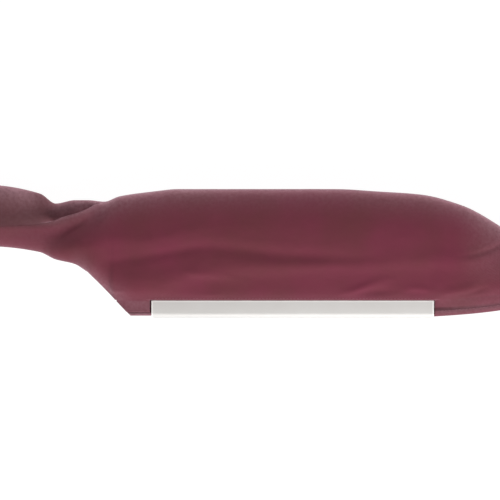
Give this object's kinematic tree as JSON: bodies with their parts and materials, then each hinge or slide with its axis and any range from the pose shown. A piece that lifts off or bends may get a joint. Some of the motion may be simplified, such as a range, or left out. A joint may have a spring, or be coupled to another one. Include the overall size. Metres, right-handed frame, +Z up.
{
  "type": "tool dust bag",
  "caption": "Cloth dust bag of a handheld belt sander: puffed body, elastic neck cuff for the dust spout, and a slide-on plastic rail that shuts the emptying mouth.",
  "frame": {"origin": "on the flat underside of the back panel, below the middle of the fastener rail's length and of the body's height", "axes": "+X along the bag from the neck to the tail, +Y from the emptying mouth to the top edge, +Z up through the bag's thickness"},
  "size_m": [0.4685, 0.1022, 0.0271],
  "materials": {
    "bag_cloth": "matt twill, slightly napped",
    "bead_cord": "smooth cord",
    "cuff_elastic": "woven elastic",
    "rail_plastic": "satin"
  },
  "bodies": {
    "bag": {"front_panel": "bag_cloth", "back_panel": "bag_cloth", "cuff_band": "bag_cloth", "cuff_elastic": "cuff_elastic", "front_lip": "bag_cloth", "back_lip": "bag_cloth", "front_bead": "bead_cord", "back_bead": "bead_cord"},
    "fastener": {"fastener_rail": "rail_plastic"}
  },
  "joints": [
    {"name": "rail_slide", "type": "slide", "parent": "bag", "child": "fastener", "axis": [-1, 0, 0], "range_m": [0, 0.237]}
  ]
}
